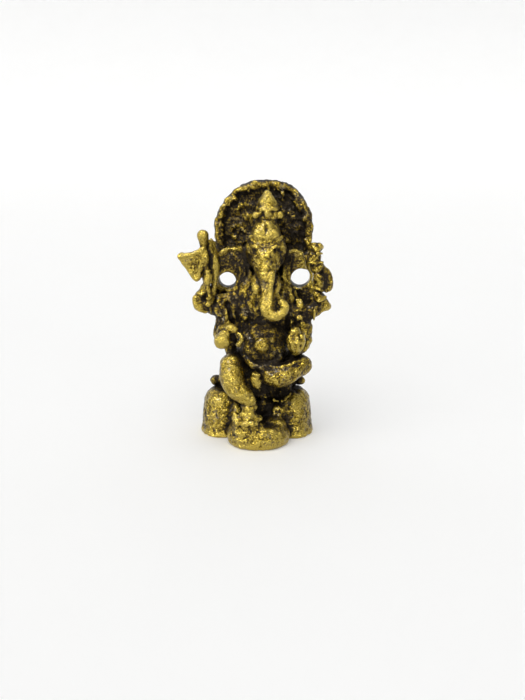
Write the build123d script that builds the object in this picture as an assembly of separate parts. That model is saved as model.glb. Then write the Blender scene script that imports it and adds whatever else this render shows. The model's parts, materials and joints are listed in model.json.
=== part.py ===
from build123d import *
import math
import os

# A 30 mm brass figurine: a seated, four-armed, elephant-headed deity before a round halo, on a base of
# three rounded rocks. X runs to the figure's left, Y to its back and Z up, and the origin is the middle
# of the flat underside. "Right" and "left" in every name are the figure's own. All sizes are millimetres.

# ---- Driving dimensions ---------------------------------------------------------------------------------
HEIGHT = 30.0
HALO_RADIUS = 5.75
HALO_CENTRE_X = 0.75
HALO_CENTRE_Z = HEIGHT - HALO_RADIUS
HALO_FOOT_Z = 22.7
RIM_WIDTH = 1.05
RIM_FRONT, RIM_BACK = 0.9, 2.8
DISC_FRONT, DISC_BACK = 1.5, 2.5
SLAB_FRONT, SLAB_BACK = 0.6, 2.3
CORD_HOLE_RIGHT = {"x": -3.47, "z": 18.70, "radius": 1.00}
CORD_HOLE_LEFT = {"x": 5.02, "z": 18.94, "radius": 1.15}
HOLE_CLEARANCE = 0.1
HOLE_FLARE = 0.12  # how much wider the room before a hole gets with each millimetre forwards
ROCK_TAPER = 0.82
FRONT_STEP_HEIGHT = 2.7
SIDE_ROCK_HEIGHT = 5.3
PLINTH_HEIGHT = 4.4
SEAT_TOP = 8.9

# ---- Landmarks of the figure -----------------------------------------------------------------------------
BODY_X = 0.7
BELLY = (BODY_X, -1.4, 11.4)
BELLY_RADII = (3.1, 2.7, 2.9)
CHEST = (BODY_X, 0.3, 15.1)
CHEST_RADII = (4.3, 1.9, 5.2)
HEAD_X = 1.0
SKULL = (HEAD_X, -0.9, 23.9)
SKULL_RADII = (1.95, 1.95, 2.15)
FACE = (HEAD_X, -1.0, 22.3)
FACE_RADII = (2.3, 1.9, 2.6)
CROWN_AXIS = (1.2, -1.0)
CROWN_BAND_Z = 25.9

RIGHT_SHOULDER = (-3.6, 0.1, 15.1)
RIGHT_REAR_ELBOW = (-6.65, -0.4, 16.1)
RIGHT_REAR_WRIST = (-6.0, -0.9, 18.0)
RIGHT_REAR_HAND = (-5.6, -1.1, 19.3)
LEFT_SHOULDER = (5.0, 0.1, 14.7)
LEFT_REAR_ELBOW = (7.75, -0.3, 15.75)
LEFT_REAR_WRIST = (6.95, -0.8, 17.1)
LEFT_REAR_HAND = (6.95, -1.0, 18.9)
RIGHT_FRONT_ELBOW = (-4.15, -1.5, 12.7)
RIGHT_FRONT_HAND = (-3.95, -3.7, 12.6)
LEFT_FRONT_ELBOW = (5.55, -1.1, 11.9)
LEFT_FRONT_HAND = (4.45, -3.1, 11.2)
SWEET_BOWL = (4.4, -3.6, 11.7)

RIGHT_HIP = (-1.9, 0.0, 8.7)
RIGHT_KNEE = (-3.05, -3.3, 9.5)
RIGHT_CALF = (-2.85, -4.1, 7.7)
RIGHT_SHIN = (-1.75, -4.6, 6.35)
RIGHT_CUFF = (-0.9, -4.8, 5.65)
RIGHT_ANKLE = (-1.0, -4.75, 4.9)
RIGHT_TOES = (-1.15, -5.35, 3.6)
LEFT_HIP = (2.7, 0.2, 8.7)
LEFT_KNEE = (5.15, -2.4, 9.15)
LEFT_CALF = (3.3, -3.5, 8.3)
LEFT_ANKLE = (1.4, -3.8, 8.4)
LEFT_FOOT = (-0.14, -4.2, 7.95)

CAP_STEPS = ((0.97, 0.26), (0.71, 0.70))  # how far out, and how wide, the sections of a rounded end are
LEAST_SCRAP = 0.03  # a smaller piece left by fitting two parts together is dropped, in cubic millimetres


# ---- Shapes ----------------------------------------------------------------------------------------------
def blob(centre, radii):
    """An ellipsoid."""
    return Pos(*centre) * scale(Sphere(1), by=radii)


def limb(points, radii, depth=1.0):
    """A smooth tapering rod with rounded ends through the points. depth squashes its sections front to back."""
    centres = [Vector(*p) for p in points]
    last = len(centres) - 1
    along = [
        (centres[min(i + 1, last)] - centres[max(i - 1, 0)]).normalized() for i in range(last + 1)
    ]

    def section(centre, direction, radius):
        side = Vector(0, 1, 0) if abs(direction.Y) < 0.9 else Vector(1, 0, 0)
        outline = Circle(radius) if depth == 1.0 else Ellipse(radius * depth, radius)
        return Plane(origin=centre, x_dir=side, z_dir=direction) * outline

    start = [
        section(centres[0] - along[0] * radii[0] * out, along[0], radii[0] * wide) for out, wide in CAP_STEPS
    ]
    middle = [section(c, t, r) for c, t, r in zip(centres, along, radii)]
    end = [
        section(centres[-1] + along[-1] * radii[-1] * out, along[-1], radii[-1] * wide)
        for out, wide in reversed(CAP_STEPS)
    ]
    return loft(start + middle + end)


def plate(outline, front, back, smooth=False):
    """A flat plate standing upright between two depths. outline is a closed list of (x, z)."""
    points = [(x, z) for x, z in outline]
    upright = Plane(origin=(0, back, 0), x_dir=(1, 0, 0), z_dir=(0, -1, 0))
    edge = Spline(*points, periodic=True) if smooth else Polyline(*points, close=True)
    return extrude(upright * make_face(edge), amount=back - front)


def lathe(profile, centre_x, centre_y):
    """A turned solid about a vertical axis. profile is a list of (radius, z) from the bottom up."""
    points = [(0, profile[0][1]), *profile, (0, profile[-1][1])]
    face = Plane.XZ * make_face(Polyline(*points, close=True))
    return Pos(centre_x, centre_y, 0) * revolve(face, axis=Axis.Z)


def ring(centre, major, minor, axis, arc=360.0, start=0.0):
    """A round ring, or an arc of one, about an axis."""
    place = Plane(origin=centre, z_dir=axis)
    around = Pos(major, 0, 0) * Rot(90, 0, 0) * Circle(minor)
    return place * Rot(0, 0, start) * revolve(around, axis=Axis.Z, revolution_arc=arc)


def rock(centre, radii, height, edge):
    """A boulder with a flat foot: oval, narrower at the top, with a rounded top edge."""
    x, y = centre
    foot = Pos(x, y, 0) * Ellipse(*radii)
    top = Pos(x, y, height) * Ellipse(radii[0] * ROCK_TAPER, radii[1] * ROCK_TAPER)
    body = loft([foot, top])
    return fillet(body.faces().sort_by(Axis.Z)[-1].edges(), edge)


def bore(hole):
    """The space of one of the two cord holes through the slab."""
    reach = 20.0
    upright = Plane(origin=(hole["x"], reach / 2, hole["z"]), z_dir=(0, -1, 0))
    return extrude(upright * Circle(hole["radius"]), amount=reach)


def flare(hole):
    """The room kept clear before a cord hole: a cone that opens forwards from the slab."""
    reach = 6.0
    narrow = hole["radius"] + HOLE_CLEARANCE
    upright = Plane(origin=(hole["x"], SLAB_FRONT, hole["z"]), z_dir=(0, -1, 0))
    wide = narrow + HOLE_FLARE * reach
    return upright * Cone(narrow, wide, reach, align=(Align.CENTER, Align.CENTER, Align.MIN))


# ---- Base and seat ---------------------------------------------------------------------------------------
def front_rock():
    return rock((0.1, -3.2), (3.75, 3.3), FRONT_STEP_HEIGHT, 0.7)


def right_rock():
    return rock((-4.25, 0.75), (2.6, 3.1), SIDE_ROCK_HEIGHT, 1.1)


def left_rock():
    return rock((4.25, 0.6), (2.5, 3.2), SIDE_ROCK_HEIGHT, 1.1)


def plinth():
    """The block that the three rocks stand against."""
    return rock((0.0, 0.9), (4.4, 3.4), PLINTH_HEIGHT, 0.5)


def seat():
    """The block under the body, between the plinth and the belly."""
    middle_x, middle_y, width, depth = 0.35, 0.6, 7.4, 3.9
    height = SEAT_TOP - PLINTH_HEIGHT
    block = Pos(middle_x, middle_y, PLINTH_HEIGHT + height / 2) * Box(width, depth, height)
    return fillet(block.edges().filter_by(Axis.Z), 1.0)


def bolster():
    """The round cushion that lies across the seat behind the legs."""
    return limb([(-4.3, 1.6, 6.0), (0.0, 1.6, 6.05), (4.3, 1.6, 6.0)], [0.85, 0.95, 0.85])


def bolster_knob(side):
    return Pos(side * 5.1, 1.6, 6.0) * Sphere(0.62)


def seat_fold():
    """The hanging edge of cloth under the folded leg."""
    return limb(
        [(0.9, -1.9, 5.05), (2.2, -2.1, 4.6), (3.3, -2.0, 4.65), (3.95, -1.7, 5.4)], [0.2, 0.26, 0.26, 0.2]
    )


# ---- Halo and back slab ----------------------------------------------------------------------------------
def halo_arc(radius, front, back):
    """A disc cut off level at the halo's foot."""
    upright = Plane(origin=(HALO_CENTRE_X, back, HALO_CENTRE_Z), z_dir=(0, -1, 0))
    disc = extrude(upright * Circle(radius), amount=back - front)
    below = Pos(HALO_CENTRE_X, 0, HALO_FOOT_Z - 10) * Box(30, 30, 20)
    return disc - below


def halo_rim():
    rim = halo_arc(HALO_RADIUS, RIM_FRONT, RIM_BACK)
    rim -= halo_arc(HALO_RADIUS - RIM_WIDTH, RIM_FRONT - 1, RIM_BACK + 1)
    outer = [e for e in rim.edges().filter_by(GeomType.CIRCLE) if abs(e.radius - HALO_RADIUS) < 0.01]
    return fillet(outer, 0.35)


def halo_disc():
    return halo_arc(HALO_RADIUS - RIM_WIDTH, DISC_FRONT, DISC_BACK)


def halo_scrolls():
    """Small curls in relief on the halo's face, fanned round the head."""
    curls = 9
    spread = 200.0
    major, minor, orbit = 0.5, 0.16, 3.75
    made = []
    for i in range(curls):
        angle = math.radians(90 - spread / 2 + spread * i / (curls - 1))
        x = HALO_CENTRE_X + orbit * math.cos(angle)
        z = HALO_CENTRE_Z + orbit * math.sin(angle)
        made.append(ring((x, DISC_FRONT, z), major, minor, (0, -1, 0), arc=250, start=math.degrees(angle)))
    return Compound(children=made)


def back_slab():
    """The web of metal behind the arms and ears, with the two cord holes."""
    outline = [
        (-3.4, 5.4), (-3.9, 9.7), (-4.5, 12.7), (-5.3, 14.6), (-5.6, 16.8), (-4.95, 19.0), (-4.95, HALO_FOOT_Z),
        (6.45, HALO_FOOT_Z), (6.5, 19.0), (6.9, 16.8), (6.7, 14.6), (5.85, 12.7), (5.4, 9.7), (4.3, 5.4),
    ]  # fmt: skip
    return plate(outline, SLAB_FRONT, SLAB_BACK)


# ---- Head ------------------------------------------------------------------------------------------------
def forehead():
    return blob(SKULL, SKULL_RADII)


def face():
    return blob(FACE, FACE_RADII)


def trunk():
    """It hangs straight down over the belly and curls up to the figure's left."""
    path = [
        (HEAD_X, -2.0, 21.6), (0.95, -2.9, 20.0), (1.1, -3.3, 18.6), (1.05, -3.7, 17.6), (0.95, -4.1, 16.7),
        (1.25, -4.4, 15.85), (2.05, -4.5, 15.55), (2.85, -4.5, 15.9), (3.05, -4.5, 16.6), (2.55, -4.5, 17.05),
    ]  # fmt: skip
    return limb(path, [1.55, 1.05, 0.78, 0.72, 0.78, 0.78, 0.62, 0.62, 0.56, 0.45])


def tusk(side):
    """A short stub at the side of the trunk."""
    inner = (HEAD_X + side * 0.95, -2.3, 19.3)
    tip = (HEAD_X + side * 1.15, -3.2, 18.0)
    return limb([inner, tip], [0.6, 0.45])


def right_ear():
    outline = [
        (-0.9, 22.3), (-2.6, 22.75), (-4.2, 22.2), (-4.35, 20.6), (-4.45, 18.9), (-3.6, 17.6), (-2.2, 17.3),
        (-1.1, 17.6), (-0.7, 19.4),
    ]  # fmt: skip
    return plate(outline, -0.5, SLAB_FRONT, smooth=True) - flare(CORD_HOLE_RIGHT)


def left_ear():
    outline = [
        (2.9, 22.2), (4.1, 22.5), (5.3, 22.1), (5.7, 20.6), (5.75, 19.0), (5.1, 17.7), (3.8, 17.6),
        (3.0, 18.4), (2.7, 20.2),
    ]  # fmt: skip
    return plate(outline, -0.5, SLAB_FRONT, smooth=True) - flare(CORD_HOLE_LEFT)


def crown_band():
    r = 1.5
    profile = [(r - 0.2, CROWN_BAND_Z), (r, CROWN_BAND_Z + 0.25), (r, CROWN_BAND_Z + 0.75), (r - 0.25, 26.95)]
    return lathe(profile, *CROWN_AXIS)


def crown_cone():
    profile = [(1.15, 26.95), (1.2, 27.3), (0.95, 27.9), (0.6, 28.5), (0.38, 28.85), (0.15, 29.0)]
    return lathe(profile, *CROWN_AXIS)


def crown_rosette(side):
    return Pos(CROWN_AXIS[0] + side * 1.3, CROWN_AXIS[1] - 0.5, 26.35) * Sphere(0.47)


# ---- Body ------------------------------------------------------------------------------------------------
def belly():
    return blob(BELLY, BELLY_RADII)


def chest():
    return blob(CHEST, CHEST_RADII)


def waist_sash():
    """A roll of cloth under the belly, between the thighs."""
    path = [(-1.5, -3.0, 10.4), (-0.7, -3.5, 9.6), (0.5, -3.7, 9.25), (1.6, -3.6, 9.6), (2.6, -3.1, 10.2)]
    return limb(path, [0.35, 0.42, 0.45, 0.42, 0.35])


def necklace():
    """Two strands that come down from the chest over the belly to the pendant."""
    right = [(-1.1, -1.5, 14.4), (-0.85, -2.45, 13.75), (-0.55, -3.2, 13.15), (-0.15, -3.85, 12.5)]
    left = [(2.4, -1.5, 14.4), (2.15, -2.5, 13.75), (1.8, -3.25, 13.15), (1.25, -3.9, 12.5)]
    return Compound(children=[limb(strand, [0.24] * 4) for strand in (right, left)])


def pendant():
    return blob((0.55, -4.0, 12.0), (0.92, 0.55, 0.88))


def shoulder_locks(roots, tips, radius):
    """Locks of hair that hang on one shoulder, each from its root to its tip."""
    return Compound(children=[limb([root, tip], [radius, radius * 0.75]) for root, tip in zip(roots, tips)])


def right_shoulder_locks():
    xs = (-1.35, -2.25, -3.1, -3.9)
    return shoulder_locks([(x, -0.75, 17.0) for x in xs], [(x + 0.1, -1.5, 14.7) for x in xs], 0.36)


def left_shoulder_locks():
    xs = (3.75, 4.6, 5.4)
    return shoulder_locks([(x, -0.75, 17.1) for x in xs], [(x - 0.1, -1.4, 14.3) for x in xs], 0.38)


# ---- Arms and what they hold -----------------------------------------------------------------------------
def right_rear_arm():
    return limb([RIGHT_SHOULDER, RIGHT_REAR_ELBOW], [1.15, 0.85])


def right_rear_forearm():
    return limb([RIGHT_REAR_ELBOW, RIGHT_REAR_WRIST], [0.85, 0.62])


def right_rear_hand():
    return blob(RIGHT_REAR_HAND, (0.62, 0.65, 0.95))


def axe_handle():
    return limb([(-5.5, -1.3, 17.0), (-5.75, -1.35, 20.0), (-6.1, -1.2, 23.3)], [0.34, 0.36, 0.36])


def axe_finial():
    return Pos(-6.1, -1.15, 24.0) * Sphere(0.72)


def axe_blade():
    outline = [
        (-9.0, 21.7), (-8.55, 22.15), (-7.3, 22.25), (-6.0, 22.75), (-5.45, 21.7), (-5.6, 20.6), (-6.35, 19.1),
        (-6.8, 18.8), (-7.35, 19.1), (-8.1, 20.3),
    ]  # fmt: skip
    return plate(outline, -1.75, -0.85, smooth=True)


def side_rib():
    """The long raised rib that runs down the edge of the slab beside the axe."""
    path = [(-5.15, -0.4, 23.1), (-4.75, -0.7, 21.3), (-4.78, -0.8, 19.0), (-5.0, -0.8, 17.6)]
    return limb(path, [0.26, 0.36, 0.3, 0.36])


def left_rear_arm():
    return limb([LEFT_SHOULDER, LEFT_REAR_ELBOW], [1.15, 0.62])


def left_rear_forearm():
    return limb([LEFT_REAR_ELBOW, LEFT_REAR_WRIST], [0.62, 0.62])


def left_rear_hand():
    return blob(LEFT_REAR_HAND, (0.68, 0.7, 1.3))


def noose_knot():
    """The bound top of the noose: two round lumps, one on the other."""
    return limb([(6.6, -0.9, 22.55), (6.62, -0.95, 21.7), (6.75, -1.0, 20.4)], [0.84, 0.78, 0.82])


def noose_loop():
    """The loop of the noose, hanging outside the hand."""
    path = [(7.35, -1.0, 20.5), (7.95, -1.0, 19.6), (8.15, -1.0, 18.4), (7.95, -1.0, 17.75)]
    return limb(path, [0.3, 0.36, 0.36, 0.3])


def right_front_arm():
    return limb([RIGHT_SHOULDER, RIGHT_FRONT_ELBOW], [1.1, 0.95])


def right_front_forearm():
    """It rises in an arch over the hand."""
    path = [RIGHT_FRONT_ELBOW, (-3.7, -2.5, 13.35), (-2.9, -3.1, 13.75), (-2.2, -3.4, 13.45)]
    return limb(path, [0.9, 0.72, 0.6, 0.5])


def right_front_hand():
    return blob(RIGHT_FRONT_HAND, (0.98, 0.95, 1.15))


def broken_tusk():
    """The piece of tusk that the right front hand holds."""
    return limb([(-1.9, -3.8, 13.3), (-1.95, -3.95, 12.6), (-2.1, -3.9, 12.0)], [0.4, 0.42, 0.36])


def left_front_arm():
    return limb([LEFT_SHOULDER, LEFT_FRONT_ELBOW], [1.1, 0.75])


def left_front_forearm():
    return limb([LEFT_FRONT_ELBOW, LEFT_FRONT_HAND], [0.75, 0.62])


def sweet_bowl():
    x, y, z = SWEET_BOWL
    return lathe([(0.45, z - 0.3), (0.8, z), (1.02, z + 0.5), (1.02, z + 0.95)], x, y)


def sweets():
    """A heap of round sweets in the bowl: a ring of them and a larger one on top."""
    x, y, z = SWEET_BOWL
    count, orbit, radius = 5, 0.62, 0.36
    made = [Pos(x, y, z + 1.78) * Sphere(0.5)]
    for i in range(count):
        angle = 2 * math.pi * i / count - math.pi / 2
        made.append(Pos(x + orbit * math.cos(angle), y + orbit * math.sin(angle), z + 1.15) * Sphere(radius))
    return Compound(children=made)


# ---- Legs ------------------------------------------------------------------------------------------------
def right_thigh():
    return limb([RIGHT_HIP, RIGHT_KNEE], [1.6, 1.1])


def right_calf():
    return limb([RIGHT_KNEE, RIGHT_CALF, RIGHT_SHIN, RIGHT_CUFF], [1.2, 1.38, 1.15, 0.85])


def right_anklet():
    return ring(RIGHT_ANKLE, 0.72, 0.24, (0.1, -0.25, 1))


def right_foot():
    return limb([RIGHT_ANKLE, (-1.05, -5.0, 4.2), RIGHT_TOES], [0.72, 0.85, 0.95])


def right_toes():
    """Five toes in a row on the front rock."""
    count, spacing, radius = 5, 0.5, 0.25
    x, y, z = RIGHT_TOES
    made = []
    for i in range(count):
        offset = (i - (count - 1) / 2) * spacing
        made.append(Pos(x + offset, y - 0.95 + 0.4 * offset**2, z - 0.25) * Rot(0, 90, 0) * Sphere(radius))
    return Compound(children=made)


def left_thigh():
    return limb([LEFT_HIP, LEFT_KNEE], [1.6, 1.1])


def left_calf():
    return limb([LEFT_KNEE, LEFT_CALF, LEFT_ANKLE], [1.2, 1.5, 1.05])


def left_foot():
    """The sole of the folded leg's foot, which hangs before the seat."""
    return blob(LEFT_FOOT, (0.68, 0.7, 1.15))


# ---- Assembly --------------------------------------------------------------------------------------------
# Each part gives way to the ones before it in this list, so that they meet face to face.
PARTS = {
    "back_slab": lambda: back_slab() - bore(CORD_HOLE_RIGHT) - bore(CORD_HOLE_LEFT),
    "halo_rim": halo_rim,
    "halo_disc": halo_disc,
    "crown_rosette_right": lambda: crown_rosette(-1),
    "crown_rosette_left": lambda: crown_rosette(1),
    "crown_cone": crown_cone,
    "crown_band": crown_band,
    "tusk_right": lambda: tusk(-1),
    "tusk_left": lambda: tusk(1),
    "trunk": trunk,
    "forehead": forehead,
    "face": face,
    "ear_right": right_ear,
    "ear_left": left_ear,
    "axe_finial": axe_finial,
    "axe_handle": axe_handle,
    "axe_blade": axe_blade,
    "side_rib": side_rib,
    "right_rear_hand": right_rear_hand,
    "right_rear_forearm": right_rear_forearm,
    "right_rear_arm": right_rear_arm,
    "noose_knot": noose_knot,
    "noose_loop": noose_loop,
    "left_rear_hand": left_rear_hand,
    "left_rear_forearm": left_rear_forearm,
    "left_rear_arm": left_rear_arm,
    "broken_tusk": broken_tusk,
    "right_front_hand": right_front_hand,
    "right_front_forearm": right_front_forearm,
    "right_front_arm": right_front_arm,
    "sweets": sweets,
    "sweet_bowl": sweet_bowl,
    "left_front_forearm": left_front_forearm,
    "left_front_arm": left_front_arm,
    "pendant": pendant,
    "necklace": necklace,
    "right_shoulder_locks": right_shoulder_locks,
    "left_shoulder_locks": left_shoulder_locks,
    "left_foot": left_foot,
    "left_calf": left_calf,
    "left_thigh": left_thigh,
    "right_anklet": right_anklet,
    "right_foot": right_foot,
    "right_toes": right_toes,
    "right_calf": right_calf,
    "right_thigh": right_thigh,
    "waist_sash": waist_sash,
    "belly": belly,
    "chest": chest,
    "seat_fold": seat_fold,
    "bolster_knob_right": lambda: bolster_knob(-1),
    "bolster_knob_left": lambda: bolster_knob(1),
    "bolster": bolster,
    "front_rock": front_rock,
    "right_rock": right_rock,
    "left_rock": left_rock,
    "seat": seat,
    "plinth": plinth,
    "halo_scrolls": halo_scrolls,
}
GROUPS = ("halo_scrolls", "necklace", "right_shoulder_locks", "left_shoulder_locks", "sweets", "right_toes")
HOLES_CROSS = ("side_rib", "right_rear_hand", "left_rear_hand", "noose_knot", "chest", "right_rear_arm")


def box_of(shape):
    box = shape.bounding_box()
    return tuple(box.min), tuple(box.max)


def boxes_meet(a, b):
    return all(a[0][i] < b[1][i] and b[0][i] < a[1][i] for i in range(3))


def fitted(name, shape, earlier):
    """The part's solids once every earlier solid that they meet is cut out of them."""
    kept = []
    for solid in shape.solids():
        room = box_of(solid)
        for other, box in earlier:
            if solid is not None and boxes_meet(room, box):
                left = solid - other
                solid = max(left.solids(), key=lambda s: s.volume) if left and left.solids() else None
        if solid is not None and solid.volume > LEAST_SCRAP:
            kept.append(solid)
    return kept if name in GROUPS else [max(kept, key=lambda s: s.volume)]


def main():
    os.makedirs("parts", exist_ok=True)
    placed = []
    for name, make in PARTS.items():
        shape = make()
        if name in HOLES_CROSS:
            shape = shape - flare(CORD_HOLE_RIGHT) - flare(CORD_HOLE_LEFT)
        solids = fitted(name, shape, placed)
        placed += [(solid, box_of(solid)) for solid in solids]
        export_step(solids[0] if len(solids) == 1 else Compound(children=solids), f"parts/{name}.step")


main()
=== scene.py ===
import json
import math

import bpy
import numpy as np
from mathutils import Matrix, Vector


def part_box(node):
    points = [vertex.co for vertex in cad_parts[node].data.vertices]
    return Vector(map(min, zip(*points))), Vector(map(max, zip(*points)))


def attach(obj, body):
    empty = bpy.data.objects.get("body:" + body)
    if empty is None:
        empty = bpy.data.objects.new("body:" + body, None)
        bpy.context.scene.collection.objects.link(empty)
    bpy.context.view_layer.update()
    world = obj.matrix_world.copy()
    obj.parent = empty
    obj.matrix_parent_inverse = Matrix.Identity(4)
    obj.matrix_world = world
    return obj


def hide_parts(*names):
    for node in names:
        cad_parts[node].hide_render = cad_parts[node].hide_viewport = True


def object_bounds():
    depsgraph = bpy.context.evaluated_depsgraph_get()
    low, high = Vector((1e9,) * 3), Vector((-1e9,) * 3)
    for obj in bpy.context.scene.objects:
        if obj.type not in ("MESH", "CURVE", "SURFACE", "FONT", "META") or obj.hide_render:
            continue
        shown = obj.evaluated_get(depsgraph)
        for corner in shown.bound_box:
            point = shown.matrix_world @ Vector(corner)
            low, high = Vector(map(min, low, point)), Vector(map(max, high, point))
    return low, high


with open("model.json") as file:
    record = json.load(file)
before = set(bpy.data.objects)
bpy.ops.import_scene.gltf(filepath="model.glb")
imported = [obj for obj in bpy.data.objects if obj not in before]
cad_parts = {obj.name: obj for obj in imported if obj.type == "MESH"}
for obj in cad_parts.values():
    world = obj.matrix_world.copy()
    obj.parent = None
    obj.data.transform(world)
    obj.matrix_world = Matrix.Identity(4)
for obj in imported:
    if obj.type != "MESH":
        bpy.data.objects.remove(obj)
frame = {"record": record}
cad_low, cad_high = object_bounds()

# The figurine is sculpted as distance fields on one grid, so that the masses flow into each other as they
# do in a casting. Each CAD node becomes one closed mesh, cut from the common surface where its own mass is
# the nearest. Inside the sculpting code lengths are millimetres, in the frame of the CAD model.

MM = 0.001
VOXEL = 0.12
PAD = 1.2  # the free space round the figure that the grid takes in
REACH = 0.7  # how far outside a shape its distance is worked out
FAR = 3.0  # the distance that stands for nowhere near
INNER_BLEND = 0.18  # the width of the fillets between the shapes of one node
SEED = 11

# ---- The grid ------------------------------------------------------------------------------------
corners = [np.array(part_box(s["node"])) / MM for s in frame["record"]["subparts"]]
low = np.min(corners, axis=(0, 1)) - PAD
high = np.max(corners, axis=(0, 1)) + PAD
low[2] = -4 * VOXEL
counts = np.ceil((high - low) / VOXEL).astype(int) + 1
axes = [(low[i] + VOXEL * np.arange(counts[i])).astype(np.float32) for i in range(3)]


def window(lo, hi):
    """The slices of the grid that hold a box, and the coordinates along each axis there."""
    first = np.clip(np.floor((np.array(lo) - low) / VOXEL).astype(int), 0, counts - 2)
    last = np.clip(np.ceil((np.array(hi) - low) / VOXEL).astype(int) + 1, first + 2, counts)
    cut = tuple(slice(a, b) for a, b in zip(first, last))
    x = axes[0][cut[0]][:, None, None]
    y = axes[1][cut[1]][None, :, None]
    z = axes[2][cut[2]][None, None, :]
    return cut, x, y, z


def smooth_min(a, b, k):
    """The union of two fields, with a fillet about k wide."""
    h = np.maximum(k - np.abs(a - b), 0) / k
    return np.minimum(a, b) - h * h * k * 0.25


def smooth_max(a, b, k):
    return -smooth_min(-a, -b, k)


# ---- Shapes: each is (lowest corner, highest corner, distance function) --------------------------
def curve_through(points, steps=4):
    """More points on a smooth curve through the given ones. Further columns, such as the radius, follow."""
    p = np.vstack([2 * points[0] - points[1], points, 2 * points[-1] - points[-2]])
    out = []
    for i in range(1, len(p) - 2):
        for t in np.arange(steps) / steps:
            a = 2 * p[i]
            b = (p[i + 1] - p[i - 1]) * t
            c = (2 * p[i - 1] - 5 * p[i] + 4 * p[i + 1] - p[i + 2]) * t * t
            d = (3 * p[i] - p[i - 1] - 3 * p[i + 1] + p[i + 2]) * t**3
            out.append((a + b + c + d) / 2)
    out.append(points[-1])
    return np.array(out)


def chain(c, points, squash=(1, 1, 1)):
    """A round tube through offsets from c, each with its radius. squash flattens its section."""
    pts = np.array(points, float)
    flat = np.array(squash, float)
    pts[:, :3] = pts[:, :3] / flat
    if len(pts) > 2:
        pts = curve_through(pts)
    reach = pts[:, 3].max()

    def distance(x, y, z):
        px, py, pz = (x - c[0]) / flat[0], (y - c[1]) / flat[1], (z - c[2]) / flat[2]
        best = None
        for a, b in zip(pts[:-1], pts[1:]):
            run = b[:3] - a[:3]
            length = float(run @ run) + 1e-9
            t = ((px - a[0]) * run[0] + (py - a[1]) * run[1] + (pz - a[2]) * run[2]) / length
            t = np.clip(t, 0, 1)
            away = (px - a[0] - t * run[0], py - a[1] - t * run[1], pz - a[2] - t * run[2])
            gap = np.sqrt(away[0] ** 2 + away[1] ** 2 + away[2] ** 2)
            d = gap - (a[3] + t * (b[3] - a[3]))
            best = d if best is None else np.minimum(best, d)
        return best * flat.min()

    corner_low = c + (pts[:, :3].min(0) - reach) * flat
    corner_high = c + (pts[:, :3].max(0) + reach) * flat
    return corner_low, corner_high, distance


def turned(x, z, degrees):
    """Coordinates in the front plane, turned about the depth axis."""
    a = math.radians(degrees)
    return x * math.cos(a) + z * math.sin(a), z * math.cos(a) - x * math.sin(a)


def ball(c, offset, radii, turn=0.0):
    """An ellipsoid at an offset from c, turned in the front plane."""
    m = np.array(c) + offset
    r = np.array(radii, float) * np.ones(3)

    def distance(x, y, z):
        px, pz = turned(x - m[0], z - m[2], turn)
        py = y - m[1]
        near = np.sqrt((px / r[0]) ** 2 + (py / r[1]) ** 2 + (pz / r[2]) ** 2)
        slope = np.sqrt((px / r[0] ** 2) ** 2 + (py / r[1] ** 2) ** 2 + (pz / r[2] ** 2) ** 2)
        return near * (near - 1) / (slope + 1e-6)

    return m - r.max(), m + r.max(), distance


def rounded(side, end, edge):
    """Two fields meeting in a rounded edge."""
    a, b = side + edge, end + edge
    return np.minimum(np.maximum(a, b), 0) + np.sqrt(np.maximum(a, 0) ** 2 + np.maximum(b, 0) ** 2) - edge


def outline_distance(points, x, z):
    """The signed distance to a closed outline in the front plane."""
    best, inside = np.full(np.broadcast(x, z).shape, 1e9), np.zeros(np.broadcast(x, z).shape, bool)
    for (ax, az), (bx, bz) in zip(points, np.roll(points, -1, axis=0)):
        ex, ez = bx - ax, bz - az
        t = np.clip(((x - ax) * ex + (z - az) * ez) / (ex * ex + ez * ez + 1e-9), 0, 1)
        best = np.minimum(best, (x - ax - t * ex) ** 2 + (z - az - t * ez) ** 2)
        crosses = (az > z) != (bz > z)
        inside ^= crosses & (x < ax + ex * (z - az) / (ez if abs(ez) > 1e-9 else 1e-9))
    return np.where(inside, -1, 1) * np.sqrt(best)


def plate(c, outline, thickness, edge, depth=0.0, bend=0.0, smooth=True):
    """An upright plate. outline is a closed list of offsets (x, z) from c. bend bows its sides forward."""
    points = np.array(outline, float)
    if smooth:
        loop = np.vstack([points[-1], points, points[0], points[1]])
        points = curve_through(loop, 4)[4:-5]
    points = points + [c[0], c[2]]
    middle = c[1] + depth

    def distance(x, y, z):
        side = outline_distance(points, x, z)
        bow = middle - bend * (x - c[0]) ** 2
        return rounded(side, np.abs(y - bow) - thickness / 2, edge)

    wide = thickness / 2 + abs(bend) * np.abs(points[:, 0] - c[0]).max() ** 2
    corner_low = np.array([points[:, 0].min(), middle - wide, points[:, 1].min()])
    corner_high = np.array([points[:, 0].max(), middle + wide, points[:, 1].max()])
    return corner_low, corner_high, distance


def boulder(c, half, profile, edge, fall=0.0):
    """A rock standing on the ground: an oval column whose width follows profile, a list of
    (height share, width share). Its top falls by fall, per millimetre, to the figure's left."""
    levels, widths = np.array(profile, float).T
    height = 2 * half[2]

    def distance(x, y, z):
        share = np.interp(z / height, levels, widths)
        px, py = (x - c[0]) / (half[0] * share), (y - c[1]) / (half[1] * share)
        near = np.sqrt(px**2 + py**2)
        steep = np.sqrt((px / half[0]) ** 2 + (py / half[1]) ** 2)
        side = near * (near - 1) / (steep + 1e-6)
        return rounded(side, z - height + fall * np.maximum(x - c[0], 0), edge)

    grow = np.array([max(widths) * half[0], max(widths) * half[1], 0])
    return np.array([c[0], c[1], -PAD]) - grow, np.array([c[0], c[1], height]) + grow, distance


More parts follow.
